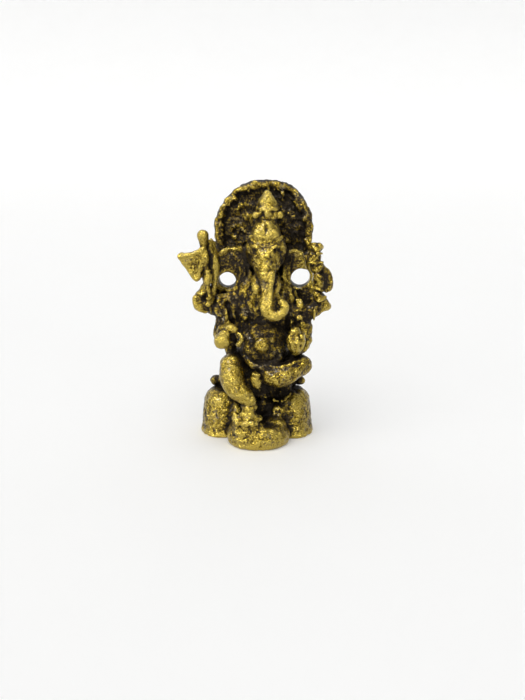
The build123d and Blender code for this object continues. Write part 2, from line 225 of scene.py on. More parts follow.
def block(c, half, edge):
    """A box with rounded edges."""

    def distance(x, y, z):
        qx, qy, qz = (np.abs(v - c[i]) - half[i] + edge for i, v in enumerate((x, y, z)))
        outer = np.sqrt(np.maximum(qx, 0) ** 2 + np.maximum(qy, 0) ** 2 + np.maximum(qz, 0) ** 2)
        return outer + np.minimum(np.maximum(np.maximum(qx, qy), qz), 0) - edge

    return np.array(c) - half, np.array(c) + half, distance


def ring(c, offset, radius, thick, start=0.0, sweep=360.0, tilt=(0, 0), squash=(1, 1, 1)):
    """A round ring, or an arc of one, in the front plane. tilt gives its depth per unit of x and of z."""
    steps = max(6, int(sweep / 24))
    points = []
    for i in range(steps + 1):
        a = math.radians(start + sweep * i / steps)
        dx, dz = radius * math.cos(a), radius * math.sin(a)
        points.append((offset[0] + dx, offset[1] + tilt[0] * dx + tilt[1] * dz, offset[2] + dz, thick))
    return chain(c, points, squash)


def flat_ring(c, offset, radius, thick, squash=1.0):
    """A level ring about an upright axis."""
    steps = 14
    angles = [2 * math.pi * i / steps for i in range(steps + 1)]
    x, y, z = offset
    points = [(x + radius * math.cos(a), y + radius * math.sin(a), z, thick) for a in angles]
    return chain(c, points, (1, 1, squash))


# ---- Sculpting each node: c is the centre of its CAD box and h its half size ---------------------
def front_rock(c, h):
    profile = [(0, 0.93), (0.12, 0.985), (0.4, 1.0), (1, 0.84)]
    return [
        boulder(c, h, profile, 0.75, fall=0.2),
        ball(c, (-0.5, -2.0, 0.6), (2.4, 1.0, 0.8)),
        ball(c, (-1.0, -1.9, 1.2), (1.7, 1.0, 0.65)),
        ball(c, (-1.9, -0.7, 1.1), (1.2, 1.6, 1.0)),
        ball(c, (1.9, 0.4, 0.6), (1.4, 1.6, 0.9)),
    ]


def side_rock(c, h):
    profile = [(0, 1.03), (0.06, 1.03), (0.14, 0.97), (0.45, 0.93), (0.8, 0.84), (1, 0.72)]
    inward = -math.copysign(1.0, c[0])
    return [boulder(c, h, profile, 1.2), ball(c, (inward * 1.7, -1.9, -0.3), (1.0, 1.3, 1.7))]


def plinth(c, h):
    whole = (h[0] * 1.35, h[1], h[2])
    return [boulder(c, whole, [(0, 1.0), (1, 0.86)], 0.5)]


def seat(c, h):
    return [block(c, h * (1.0, 1.0, 1.05), 0.9)]


def bolster(c, h):
    end = h[0] - 0.75
    return [chain(c, [(-end, 0, 0, 0.8), (0, 0, 0.05, 0.95), (end, 0, 0, 0.8)])]


def bolster_knob(c, h):
    return [ball(c, (0, 0, 0), h), ball(c, (math.copysign(0.45, c[0]), 0, 0), 0.3)]


def seat_fold(c, h):
    edge = [(-1.5, 0.1, 0.1, 0.2), (-0.2, -0.1, -0.35, 0.26), (0.9, 0, -0.3, 0.26), (1.5, 0.3, 0.45, 0.2)]
    return [chain(c, edge)]


def back_slab(c, h):
    outline = [
        (-4.0, -8.65), (-4.5, -4.4), (-5.1, -1.4), (-5.95, 0.5), (-6.25, 2.75), (-6.0, 4.9), (-6.15, 9.2),
        (5.8, 9.2), (5.85, 4.9), (6.25, 2.75), (6.05, 0.5), (5.2, -1.4), (4.75, -4.4), (3.65, -8.65),
    ]
    corner_low, corner_high, upright = plate(c, outline, 2 * h[1], 0.5, smooth=False)
    front, top = c[1] - h[1], c[2] + h[2]

    def distance(x, y, z):
        slope = 0.55 * np.maximum(z - top + 1.9, 0)
        return smooth_max(upright(x, y, z), 0.88 * (front + slope - y), 0.4)

    return [
        (corner_low, corner_high, distance),
        ball(c, (0, 0.35, 0.5), (3.3, 0.85, 3.9)),
        ball(c, (0, 0.35, -5.4), (3.6, 0.95, 2.2)),
    ]


def halo_radius(angle, radius):
    """The rim isn't quite round: it swells at two places."""
    left_swell = 0.28 * np.exp(-(((angle - 1.02) / 0.32) ** 2))
    right_swell = 0.1 * np.exp(-(((angle - 2.15) / 0.2) ** 2))
    return radius + left_swell + right_swell


def halo_rim(c, h):
    centre_x, centre_z = c[0], c[2] + h[2] - h[0]
    width, thick, edge = 0.8, 2 * h[1], 0.36
    foot = c[2] - h[2] - 0.9

    def distance(x, y, z):
        dx, dz = x - centre_x, z - centre_z
        angle = np.arctan2(dz, dx)
        outer = halo_radius(angle, h[0] - 0.08)
        across = np.abs(np.sqrt(dx**2 + dz**2) - (outer - width / 2)) - width / 2
        band = rounded(across, np.abs(y - c[1]) - thick / 2, edge)
        return smooth_max(band, foot - z, 0.5)

    return c - h - (0.4, 0.4, 1.3), c + h + 0.4, distance


def halo_rim_pieces(c, h):
    """The rim, with the small nicked lumps that run along its inner edge."""
    shapes = [halo_rim(c, h)]
    centre = (0, -h[1] + 0.25, h[2] - h[0])
    for i in range(31):
        angle = math.radians(-12 + 204 * i / 30)
        reach = h[0] - 0.85 + 0.1 * math.sin(2.7 * i)
        across, up = reach * math.cos(angle), reach * math.sin(angle)
        offset = (across, centre[1] + 0.06 * math.sin(5.1 * i), centre[2] + up)
        shapes.append(ball(c, offset, 0.22 + 0.07 * math.sin(1.9 * i)))
    return shapes


def halo_disc(c, h):
    centre_x, centre_z, foot = c[0], c[2] + h[2] - h[0], c[2] - h[2]

    def distance(x, y, z):
        side = np.sqrt((x - centre_x) ** 2 + (z - centre_z) ** 2) - h[0] - 0.5
        return np.maximum(rounded(side, np.abs(y - c[1]) - h[1], 0.1), foot - z)

    return [(c - h - 0.6, c + h + 0.6, distance)]


def halo_scrolls(c, h):
    """Two rows of small curls in relief, fanned round the head."""
    shapes = []
    centre_z = h[2] - 4.45
    for count, orbit, size, phase in ((9, 3.75, 0.5, 0.0), (6, 2.55, 0.4, 16.0)):
        for i in range(count):
            angle = -10 + 200 * i / (count - 1) + phase * (0.5 - i / count)
            a = math.radians(angle)
            at = (orbit * math.cos(a), 0.02, centre_z + orbit * math.sin(a))
            sweep = 230 + 40 * math.sin(3.0 * i)
            shapes.append(ring(c, at, size, 0.1, start=angle + 40 * math.sin(2.0 * i), sweep=sweep))
    return shapes


def crown_cone(c, h):
    bell = [
        (0, 0, -0.95, 1.15), (0, 0, -0.5, 1.12), (0, -0.03, 0.0, 0.88), (0, -0.03, 0.45, 0.62),
        (0, 0, 0.68, 0.36),
    ]
    return [chain(c, bell), flat_ring(c, (0, 0, -0.95), 1.2, 0.2), flat_ring(c, (0, 0, -0.1), 0.88, 0.09)]


def crown_band(c, h):
    shapes = [chain(c, [(0, 0, -0.25, 1.15), (0, 0, 0.25, 1.05)]), flat_ring(c, (0, 0, -0.35), 1.15, 0.16)]
    beads = 12
    for i in range(beads):
        a = 2 * math.pi * (i + 0.5) / beads
        shapes.append(ball(c, (1.2 * math.cos(a), 1.2 * math.sin(a), 0.12), 0.24))
    shapes.append(ball(c, (-0.15, -1.3, 0.05), (0.34, 0.3, 0.4)))
    return shapes


def crown_rosette(c, h):
    return [ball(c, (0, 0, 0), 0.47), ring(c, (0, -0.3, 0), 0.28, 0.13), ball(c, (0, -0.45, 0), 0.12)]


def forehead(c, h):
    """A dome that narrows to the crown, with two swellings and a chevron of brow under them."""
    dome = [(0, -0.2, 1.8, 0.95), (0, -0.3, 1.2, 1.2), (0, -0.3, 0.5, 1.58), (0, -0.2, -0.6, 1.72)]
    shapes = [chain(c, dome)]
    for side in (-1, 1):
        shapes.append(ball(c, (side * 0.78, -1.4, 0.42), (0.7, 0.5, 0.72), side * -28))
        brow = [(side * 1.75, -0.85, 0.15, 0.14), (side * 1.05, -1.6, -0.55, 0.17), (0, -1.95, -1.15, 0.18)]
        shapes.append(chain(c, brow))
    shapes.append(ball(c, (0, -1.3, -0.45), (0.85, 0.55, 0.75)))
    return shapes


def face(c, h):
    shapes = [
        ball(c, (0, 0, 0.6), (2.28, 1.9, 2.5)),
        ball(c, (0, -1.1, 0.1), (1.5, 1.1, 1.3)),
    ]
    for side in (-1, 1):
        shapes.append(ball(c, (side * 1.55, -0.75, 1.0), (0.75, 0.85, 0.95), side * 14))
        shapes.append(ball(c, (side * 1.12, -1.72, 1.22), (0.36, 0.24, 0.2), side * 18))
        lid = [
            (side * 0.7, -1.95, 1.2, 0.09), (side * 1.12, -1.9, 1.46, 0.1),
            (side * 1.55, -1.62, 1.28, 0.09),
        ]
        shapes.append(chain(c, lid))
        shapes.append(ball(c, (side * 1.0, -1.2, -0.6), (0.7, 0.7, 0.95), side * -10))
    return shapes


def trunk(c, h):
    path = [
        (-0.55, 0.6, 2.6, 1.5), (-0.6, -0.1, 0.95, 1.02), (-0.45, -0.5, -0.45, 0.76),
        (-0.5, -0.9, -1.45, 0.72), (-0.6, -1.3, -2.35, 0.79), (-0.35, -1.55, -3.15, 0.8),
        (0.4, -1.7, -3.5, 0.66), (1.2, -1.7, -3.25, 0.6), (1.52, -1.7, -2.5, 0.52),
        (1.1, -1.7, -2.02, 0.4),
    ]
    ridge = [
        (0.15, -1.0, 1.1, 0.3), (-0.05, -1.22, -0.3, 0.28), (-0.1, -1.55, -1.5, 0.3),
        (-0.2, -1.95, -2.5, 0.35),
    ]
    shapes = [chain(c, path), chain(c, ridge)]
    for height, half, depth in ((2.2, 1.15, -0.62), (1.7, 1.0, -0.78), (1.2, 0.9, -0.9), (0.7, 0.8, -0.95)):
        fold = [(-0.6 - half, depth + 0.55, height, 0.1), (-0.6, depth - 0.22, height - 0.12, 0.13)]
        fold.append((-0.6 + half, depth + 0.55, height, 0.1))
        shapes.append(chain(c, fold))
    return shapes


def tusk(c, h):
    side = 1 if c[0] > 1 else -1
    stub = [
        (-side * 0.05, 0.35, 0.6, 0.55), (side * 0.1, -0.35, -0.35, 0.5),
        (side * 0.05, -0.5, -0.7, 0.42),
    ]
    return [chain(c, stub), flat_ring(c, (side * 0.06, -0.12, 0.0), 0.45, 0.13)]


def right_ear(c, h):
    outline = [
        (1.6, 2.2), (-0.1, 2.65), (-1.7, 2.1), (-1.85, 0.6), (-1.95, -1.1),
        (-1.1, -2.4), (0.3, -2.7), (1.4, -2.4), (1.8, -0.6),
    ]
    rim = [
        (-1.75, -0.45, 1.5, 0.18), (-1.45, -0.5, 2.15, 0.2), (-0.6, -0.55, 2.42, 0.2),
        (0.3, -0.55, 2.4, 0.2), (0.95, -0.45, 1.95, 0.2), (1.25, -0.4, 1.0, 0.18),
    ]
    inner = [
        (0.75, -0.5, 0.9, 0.16), (1.1, -0.55, -0.2, 0.2), (1.0, -0.55, -1.2, 0.2),
        (0.55, -0.5, -1.9, 0.18),
    ]
    fold = [
        (0.2, -0.45, 1.3, 0.14), (0.55, -0.5, 0.2, 0.17), (0.5, -0.5, -0.9, 0.17),
        (0.1, -0.45, -1.6, 0.14),
    ]
    lobe = [(1.5, -0.6, 0.4, 0.16), (1.65, -0.7, -1.0, 0.22), (1.35, -0.7, -2.2, 0.24)]
    return [plate(c, outline, 1.0, 0.3, bend=0.03)] + [chain(c, p) for p in (rim, inner, fold, lobe)]


def left_ear(c, h):
    outline = [
        (-1.25, 2.1), (-0.1, 2.4), (1.1, 2.1), (1.5, 0.6), (1.6, -1.0),
        (0.95, -2.3), (-0.35, -2.4), (-1.15, -1.6), (-1.4, 0.2),
    ]
    rim = [
        (-1.05, -0.5, 1.55, 0.18), (-0.55, -0.55, 2.05, 0.2), (0.05, -0.55, 2.3, 0.21),
        (0.7, -0.5, 2.05, 0.2), (0.95, -0.4, 1.35, 0.18),
    ]
    inner = [
        (-0.8, -0.5, 1.0, 0.16), (-1.05, -0.55, -0.1, 0.2), (-0.95, -0.55, -1.3, 0.2),
        (-0.5, -0.5, -2.0, 0.18),
    ]
    fold = [(-0.2, -0.45, 1.2, 0.14), (-0.55, -0.5, 0.3, 0.16), (-0.4, -0.5, -1.5, 0.16)]
    tuft = [(-1.25, -0.7, -0.8, 0.2), (-0.85, -0.85, -1.05, 0.26), (-0.45, -0.75, -1.5, 0.2)]
    return [plate(c, outline, 1.0, 0.3, bend=0.03)] + [chain(c, p) for p in (rim, inner, fold, tuft)]


def axe_finial(c, h):
    return [ball(c, (0, 0, 0), h[0] - 0.03), chain(c, [(0, 0, -0.4, 0.5), (0.08, -0.05, -1.1, 0.36)])]


def axe_handle(c, h):
    """The handle, with the web of metal that joins it to the rib beside it."""
    path = [
        (0.3, 0, -3.0, 0.34), (0.08, -0.1, -1.0, 0.36), (-0.02, -0.1, 1.2, 0.36),
        (-0.28, 0.05, 3.1, 0.38),
    ]
    return [chain(c, path), ball(c, (0.45, 0.35, 1.5), (0.55, 0.3, 2.0))]


def axe_blade(c, h):
    outline = [
        (-1.78, 0.9), (-1.35, 1.3), (-0.7, 1.28), (0.2, 1.5), (0.95, 1.9), (1.35, 1.95), (1.75, 1.0),
        (1.6, -0.1), (1.1, -0.6), (0.9, -1.5), (0.45, -1.95), (-0.1, -1.75), (-0.85, -0.5),
    ]
    top = [
        (-1.55, -0.32, 0.95, 0.2), (-0.7, -0.35, 1.08, 0.16), (0.3, -0.35, 1.32, 0.16),
        (1.1, -0.3, 1.7, 0.2),
    ]
    cheek = [(1.45, -0.25, 0.8, 0.28), (0.9, -0.3, 0.1, 0.3), (0.6, -0.25, -0.9, 0.28)]
    return [plate(c, outline, 0.85, 0.3, bend=0.02), chain(c, top), chain(c, cheek)]


def side_rib(c, h):
    path = [(-0.3, 0.25, 2.8, 0.3), (0.05, 0, 1.2, 0.46), (0.12, -0.1, 0.0, 0.48), (0.0, -0.12, -1.6, 0.42)]
    path += [(-0.35, -0.15, -3.0, 0.42), (-0.8, -0.2, -4.3, 0.4)]
    return [chain(c, path)]


def right_rear_hand(c, h):
    shapes = [ball(c, (0, 0.1, 0), (0.62, 0.6, 0.95))]
    for i, z in enumerate((-0.65, -0.22, 0.2, 0.6)):
        tip = 0.38 - 0.06 * i
        finger = [(-0.5, -0.1, z - 0.1, 0.24), (-0.1, -0.48, z, 0.25), (tip, -0.35, z + 0.12, 0.2)]
        shapes.append(chain(c, finger))
    return shapes


def right_rear_forearm(c, h):
    arm = [(-0.25, 0.15, -0.85, 0.82), (-0.1, 0, 0.1, 0.66), (0.45, -0.35, 1.1, 0.55)]
    elbow = [
        (-0.75, -0.3, -0.1, 0.3), (-0.7, -0.35, -0.9, 0.33), (-0.2, -0.4, -1.5, 0.33),
        (0.5, -0.3, -1.75, 0.28),
    ]
    cuff = [(-0.45, -0.55, 0.55, 0.2), (0.05, -0.85, 0.45, 0.22), (0.6, -0.6, 0.75, 0.2)]
    return [chain(c, arm), chain(c, elbow), chain(c, cuff)]


def right_rear_arm(c, h):
    band = [(-0.55, -0.7, -0.75, 0.18), (-0.65, -0.95, 0.0, 0.2), (-0.8, -0.75, 0.75, 0.18)]
    arm = [(1.12, 0.27, -0.35, 1.15), (-0.4, 0, 0.1, 0.95), (-1.93, -0.23, 0.65, 0.85)]
    return [chain(c, arm), chain(c, band)]


def noose_knot(c, h):
    shapes = [
        ball(c, (-0.05, 0.04, 1.08), (0.86, 0.8, 0.78)),
        ball(c, (0.35, 0, 1.2), (0.5, 0.6, 0.5)),
        ball(c, (-0.12, 0, 0.05), (0.88, 0.8, 0.72)),
        ball(c, (0.08, -0.05, -1.05), (0.8, 0.75, 0.85)),
        chain(c, [(-0.75, -0.45, 0.55, 0.18), (-0.05, -0.8, 0.5, 0.22), (0.7, -0.45, 0.6, 0.18)]),
        chain(c, [(-0.7, -0.4, -0.5, 0.17), (0, -0.72, -0.55, 0.2), (0.72, -0.4, -0.45, 0.17)]),
    ]
    return shapes


def noose_loop(c, h):
    loop = [
        (-0.5, 0, 1.35, 0.34), (0.05, 0, 0.75, 0.42), (0.36, 0, -0.2, 0.42), (0.26, 0, -1.0, 0.42),
        (0.0, 0, -1.4, 0.32),
    ]
    return [chain(c, loop), ball(c, (-0.4, 0.05, -0.2), (0.6, 0.42, 1.25))]


def left_rear_hand(c, h):
    shapes = [ball(c, (0, 0.1, 0), (0.66, 0.62, 1.25))]
    for i, z in enumerate((-0.8, -0.3, 0.2, 0.7)):
        finger = [(0.5, -0.15, z - 0.15, 0.24), (0.1, -0.5, z, 0.26), (-0.4, -0.35, z + 0.12, 0.2)]
        shapes.append(chain(c, finger))
    return shapes


def left_rear_forearm(c, h):
    return [
        chain(c, [(0.45, 0.2, -0.7, 0.6), (0.1, 0, 0.1, 0.55), (-0.4, -0.25, 0.75, 0.6)]),
        ball(c, (0.85, 0.2, -0.75), (0.4, 0.45, 0.42)),
        ball(c, (-0.5, 0.3, -0.5), (0.6, 0.4, 0.6)),
        chain(c, [(-0.65, -0.55, 0.25, 0.17), (-0.15, -0.75, 0.15, 0.2), (0.5, -0.45, 0.55, 0.17)]),
    ]


def left_rear_arm(c, h):
    band = [(0.6, -0.7, -0.6, 0.18), (0.7, -0.85, 0.1, 0.2), (0.85, -0.6, 0.85, 0.18)]
    arm = [(-0.94, 0.35, -0.26, 1.15), (0.6, 0.1, 0.25, 0.85), (1.8, -0.05, 0.8, 0.6)]
    return [chain(c, arm), chain(c, band)]


def right_front_arm(c, h):
    return [chain(c, [(0.2, 0.97, 1.48, 1.1), (-0.2, 0.2, 0.3, 1.0), (-0.35, -0.63, -0.92, 0.95)])]


def right_front_forearm(c, h):
    arch = [
        (-0.92, 0.98, -0.34, 0.9), (-0.5, 0, 0.35, 0.74), (0.1, -0.55, 0.7, 0.6),
        (0.7, -0.85, 0.62, 0.4),
    ]
    bangle = [(-0.2, -0.95, 0.1, 0.17), (-0.15, -0.85, 0.95, 0.2), (-0.05, -0.1, 1.35, 0.17)]
    return [chain(c, arch), chain(c, bangle)]


def right_front_hand(c, h):
    return [
        ball(c, (0, 0, -0.15), (0.95, 0.9, 0.95)),
        ball(c, (0.25, -0.35, 0.72), (0.6, 0.5, 0.45)),
        chain(c, [(0.45, -0.75, 0.35, 0.16), (0.62, -0.72, -0.1, 0.18), (0.5, -0.65, -0.6, 0.16)]),
    ]


def broken_tusk(c, h):
    """A small curl, like a comma."""
    curl = [
        (-0.2, 0.1, 0.62, 0.2), (0.18, -0.02, 0.4, 0.24), (0.15, -0.05, -0.15, 0.27),
        (-0.15, 0, -0.6, 0.3),
    ]
    return [chain(c, curl)]


def left_front_arm(c, h):
    return [chain(c, [(-0.12, 0.66, 1.51, 1.1), (0.35, 0.1, 0.2, 0.9), (0.43, -0.54, -1.29, 0.75)])]


def left_front_forearm(c, h):
    return [
        chain(c, [(0.49, 0.93, 0.29, 0.75), (0.1, -0.2, -0.25, 0.7), (-0.61, -1.07, -0.41, 0.62)]),
        chain(c, [(0.75, -0.45, 0.35, 0.17), (0.5, -0.85, -0.3, 0.2), (-0.1, -0.65, -0.85, 0.17)]),
    ]


def sweet_bowl(c, h):
    shapes = [chain(c, [(0, 0, -0.25, 0.6), (0, 0, 0.05, 0.85), (0, 0, 0.35, 0.98)], (1, 1, 0.8))]
    shapes.append(flat_ring(c, (0, 0, 0.45), 0.95, 0.16))
    for i in range(4):
        a = math.radians(200 + 42 * i)
        x, y = 0.8 * math.cos(a), 0.8 * math.sin(a)
        finger = [(0.5 * x, 0.5 * y, -0.75, 0.2), (x, y, -0.3, 0.2), (1.15 * x, 1.15 * y, 0.15, 0.17)]
        shapes.append(chain(c, finger))
    return shapes


def sweets(c, h):
    shapes = [ball(c, (0, 0.06, 0.2), 0.66), ball(c, (-0.35, -0.2, 0.35), 0.42)]
    for i in range(6):
        a = 2 * math.pi * i / 6 - math.pi / 2
        shapes.append(ball(c, (0.68 * math.cos(a), 0.06 + 0.6 * math.sin(a), -0.3), 0.42))
    return shapes


def pendant(c, h):
    return [
        ball(c, (0, 0, 0), (0.9, 0.5, 0.86)),
        ball(c, (0.12, -0.2, -0.1), (0.6, 0.4, 0.55)),
        ball(c, (-0.35, -0.15, 0.35), (0.35, 0.3, 0.3)),
    ]


def necklace(c, h):
    """Two strings of small beads that lie on the chest and the belly."""
    shapes = []
    for side in (-1, 1):
        strand = [
            (side * 1.75, 1.35, 0.95), (side * 1.48, 0.5, 0.28), (side * 1.15, -0.3, -0.32),
            (side * 0.68, -0.95, -0.98),
        ]
        beads = curve_through(np.array(strand), steps=3)
        shapes += [ball(c, bead, 0.19) for bead in beads]
    return shapes


def lock(c, x, top, sway, tip, lean, depths):
    """One lock of hair that waves a little on its way down over the shoulder."""
    upper = [(x, 0.75, top, 0.2), (x + sway, 0.4, 0.5, 0.27)]
    lower = [(x - sway, depths[0], -0.6, 0.27), (x + lean, depths[1], tip, 0.16)]
    return chain(c, upper + lower)


def right_shoulder_locks(c, h):
    """A broad fold beside the trunk, and close-set locks that run down into each other."""
    band = [
        (0.85, 0.6, 1.7, 0.4), (0.95, 0.25, 0.9, 0.56), (1.05, -0.1, 0.0, 0.6),
        (1.15, -0.4, -1.1, 0.48),
    ]
    shapes = [chain(c, band, (1, 0.7, 1))]
    locks = 7
    for i in range(locks):
        x, top = 0.35 - 0.4 * i, 1.4 - 0.08 * i
        sway = 0.14 * math.sin(2.3 * i)
        tip = -1.5 - 0.35 * math.sin(1.7 * i + 1)
        shapes.append(lock(c, x, top, sway, tip, 0.2, (0.05, -0.25)))
    return shapes


def left_shoulder_locks(c, h):
    locks = 5
    shapes = []
    for i in range(locks):
        x, top = -1.2 + 0.4 * i, 1.3 - 0.1 * i
        sway = 0.14 * math.sin(2.1 * i + 1)
        tip = -1.6 - 0.3 * math.sin(1.9 * i)
        shapes.append(lock(c, x, top, sway, tip, 0.15, (0.1, -0.2)))
    return shapes


def belly(c, h):
    sash = [
        (-2.2, -0.9, 0.9, 0.16), (-0.8, -1.95, 1.35, 0.18), (0.6, -2.05, 1.2, 0.18),
        (2.2, -1.1, 0.5, 0.16),
    ]
    return [ball(c, (0, 0.35, 0), (3.1, 2.7, 2.9)), chain(c, sash)]


def chest(c, h):
    return [ball(c, (-0.03, 0.8, -0.28), (4.3, 1.9, 5.2))]


def waist_sash(c, h):
    roll = [
        (-2.0, 0.35, 0.6, 0.35), (-1.2, -0.1, -0.15, 0.42), (0, -0.3, -0.5, 0.45),
        (1.1, -0.2, -0.15, 0.42), (2.1, 0.3, 0.45, 0.35),
    ]
    tail = [(0.1, -0.45, -0.5, 0.25), (0.25, -0.4, -1.1, 0.25), (0.1, -0.2, -1.7, 0.2)]
    return [chain(c, roll), chain(c, tail)]


def right_thigh(c, h):
    return [chain(c, [(0.31, 1.39, -0.16, 1.6), (-0.3, -0.3, 0.3, 1.4), (-0.84, -1.8, 0.64, 1.15)])]


def right_calf(c, h):
    leg = [
        (-0.84, 0.63, 1.62, 1.2), (-0.72, 0.0, 0.4, 1.38), (-0.35, -0.35, -0.7, 1.3),
        (0.46, -0.67, -1.53, 1.1), (1.2, -0.87, -2.2, 0.8),
    ]
    shapes = [chain(c, leg), chain(c, [(1.2, -1.0, -1.9, 0.45), (1.75, -1.1, -2.3, 0.3)])]
    for z, tilt in ((2.0, 0.1), (1.5, 0.06), (1.0, 0.02)):
        crease = [
            (-1.75, 0.0, z - 0.3, 0.12), (-0.95, -0.75, z - tilt, 0.16),
            (-0.1, -0.55, z - 0.35, 0.12),
        ]
        shapes.append(chain(c, crease))
    return shapes


def right_anklet(c, h):
    return [flat_ring(c, (0, 0, 0), 0.74, 0.26)]


def right_foot(c, h):
    """A broad lumpy foot, wider than the ankle above it."""
    lumps = [
        ((-1.1, 0.1, -0.55), (0.75, 0.75, 0.5)), ((-0.5, -0.15, -0.15), (0.5, 0.5, 0.5)),
        ((0.3, -0.2, -0.05), (0.45, 0.45, 0.45)), ((1.0, 0.1, -0.6), (0.7, 0.7, 0.45)),
        ((0.8, -0.1, -0.25), (0.4, 0.4, 0.36)), ((-1.3, 0.0, -0.1), (0.36, 0.4, 0.34)),
    ]
    ankle = [(0.14, 0.43, 0.75, 0.72), (0.09, 0.18, 0.05, 0.85), (-0.01, -0.05, -0.5, 0.85)]
    return [chain(c, ankle)] + [ball(c, offset, radii) for offset, radii in lumps]


def right_toes(c, h):
    shapes = []
    for i in range(5):
        x = (i - 2) * 0.56
        size = 0.34 + 0.06 * math.sin(2.6 * i + 0.6)
        lift = -0.12 + 0.1 * math.sin(3.1 * i)
        shapes.append(ball(c, (x, 0.1 + 0.14 * x**2, lift), (size * 0.85, size * 1.15, size)))
    return shapes


def left_thigh(c, h):
    return [chain(c, [(-0.8, 1.1, -0.08, 1.6), (0.6, -0.2, 0.2, 1.4), (1.65, -1.5, 0.37, 1.15)])]


def left_calf(c, h):
    leg = [
        (1.85, 0.72, 0.62, 1.12), (1.05, 0.1, 0.4, 1.2), (0.0, -0.4, -0.05, 1.32),
        (-1.1, -0.6, -0.3, 1.32), (-1.95, -0.68, -0.22, 1.05),
    ]
    hem = [
        (-1.9, -1.05, 0.95, 0.12), (-0.6, -1.25, 1.0, 0.16), (0.9, -0.75, 1.35, 0.16),
        (2.0, -0.05, 1.6, 0.14),
    ]
    return [chain(c, leg), chain(c, hem)]


def left_foot(c, h):
    shapes = [ball(c, (0, 0, 0), (0.66, 0.66, 1.1), 6)]
    for i in range(4):
        shapes.append(ball(c, (-0.3 + 0.2 * i, -0.5, 0.85 - 0.06 * i), 0.2))
    return shapes


# ---- The nodes -----------------------------------------------------------------------------------
# For each node: how it is sculpted, how softly it joins the rest, how bright its finish is set, how rough
# it is. Most parts on the figure's left are set darker than the matching parts on its right.
NODES = {
    "front_rock": (front_rock, 0.4, 0.04, 0.75),
    "right_rock": (side_rock, 0.35, 0.02, 0.75),
    "left_rock": (side_rock, 0.35, 0.0, 0.85),
    "plinth": (plinth, 0.3, -0.5, 1.0),
    "seat": (seat, 0.3, -0.55, 1.0),
    "seat_fold": (seat_fold, 0.2, -1.0, 0.7),
    "bolster": (bolster, 0.25, -0.3, 1.0),
    "bolster_knob_right": (bolster_knob, 0.25, -0.7, 0.8),
    "bolster_knob_left": (bolster_knob, 0.25, -0.8, 0.8),
    "back_slab": (back_slab, 0.4, -0.3, 1.2),
    "halo_rim": (halo_rim_pieces, 0.3, -0.78, 1.4),
    "halo_disc": (halo_disc, 0.25, -0.34, 1.9),
    "halo_scrolls": (halo_scrolls, 0.2, -0.8, 1.0),
    "crown_cone": (crown_cone, 0.2, -0.16, 0.8),
    "crown_band": (crown_band, 0.2, -0.18, 0.8),
    "crown_rosette_right": (crown_rosette, 0.15, -0.1, 0.4),
    "crown_rosette_left": (crown_rosette, 0.15, -0.2, 0.4),
    "forehead": (forehead, 0.25, 0.12, 0.6),
    "face": (face, 0.45, -0.28, 0.8),
    "trunk": (trunk, 0.6, -0.1, 0.7),
    "tusk_right": (tusk, 0.2, -0.05, 0.5),
    "tusk_left": (tusk, 0.2, -0.3, 0.7),
    "ear_right": (right_ear, 0.25, -0.36, 1.0),
    "ear_left": (left_ear, 0.25, -0.36, 1.0),
    "axe_finial": (axe_finial, 0.2, -0.5, 0.3),
    "axe_handle": (axe_handle, 0.3, -0.55, 0.9),
    "axe_blade": (axe_blade, 0.25, -0.22, 0.6),
    "side_rib": (side_rib, 0.3, -0.1, 0.6),
    "right_rear_hand": (right_rear_hand, 0.2, -0.25, 0.8),
    "right_rear_forearm": (right_rear_forearm, 0.25, -0.33, 0.9),
    "right_rear_arm": (right_rear_arm, 0.3, -0.35, 1.0),
    "noose_knot": (noose_knot, 0.25, -0.6, 1.0),
    "noose_loop": (noose_loop, 0.25, -0.8, 0.9),
    "left_rear_hand": (left_rear_hand, 0.2, -0.5, 0.9),
    "left_rear_forearm": (left_rear_forearm, 0.25, -0.5, 0.8),
    "left_rear_arm": (left_rear_arm, 0.3, -0.35, 1.0),
    "right_front_arm": (right_front_arm, 0.3, -0.3, 1.0),
    "right_front_forearm": (right_front_forearm, 0.25, -0.22, 0.8),
    "right_front_hand": (right_front_hand, 0.25, -0.08, 0.7),
    "broken_tusk": (broken_tusk, 0.2, -0.3, 0.5),
    "left_front_arm": (left_front_arm, 0.3, -0.3, 1.0),
    "left_front_forearm": (left_front_forearm, 0.25, -0.22, 0.8),
    "sweet_bowl": (sweet_bowl, 0.2, -0.22, 0.7),
    "sweets": (sweets, 0.15, -0.2, 0.7),
    "pendant": (pendant, 0.25, -0.38, 0.7),
    "necklace": (necklace, 0.2, -0.7, 0.7),
    "right_shoulder_locks": (right_shoulder_locks, 0.4, -0.4, 1.0),
    "left_shoulder_locks": (left_shoulder_locks, 0.35, -0.35, 1.1),
    "belly": (belly, 0.3, -0.26, 0.8),
    "chest": (chest, 0.3, -0.06, 1.0),
    "waist_sash": (waist_sash, 0.3, -0.35, 0.9),
    "right_thigh": (right_thigh, 0.3, -0.08, 0.8),
    "right_calf": (right_calf, 0.3, -0.04, 0.7),
    "right_anklet": (right_anklet, 0.2, -0.22, 0.7),
    "right_foot": (right_foot, 0.3, -0.05, 0.8),
    "right_toes": (right_toes, 0.35, -0.12, 0.7),
    "left_thigh": (left_thigh, 0.3, -0.35, 0.9),
    "left_calf": (left_calf, 0.3, -0.3, 0.65),
    "left_foot": (left_foot, 0.2, -0.22, 0.9),
}

# How deep the upright furrows of cloth and hair are, in millimetres.
STREAKS = {
    "chest": 0.22, "right_shoulder_locks": 0.14, "left_shoulder_locks": 0.16, "right_rear_arm": 0.08,
    "left_rear_arm": 0.1, "right_front_arm": 0.06, "left_front_arm": 0.06, "seat": 0.14, "plinth": 0.14,
    "ear_right": 0.06, "ear_left": 0.06, "belly": 0.05, "left_thigh": 0.06, "right_thigh": 0.06,
}


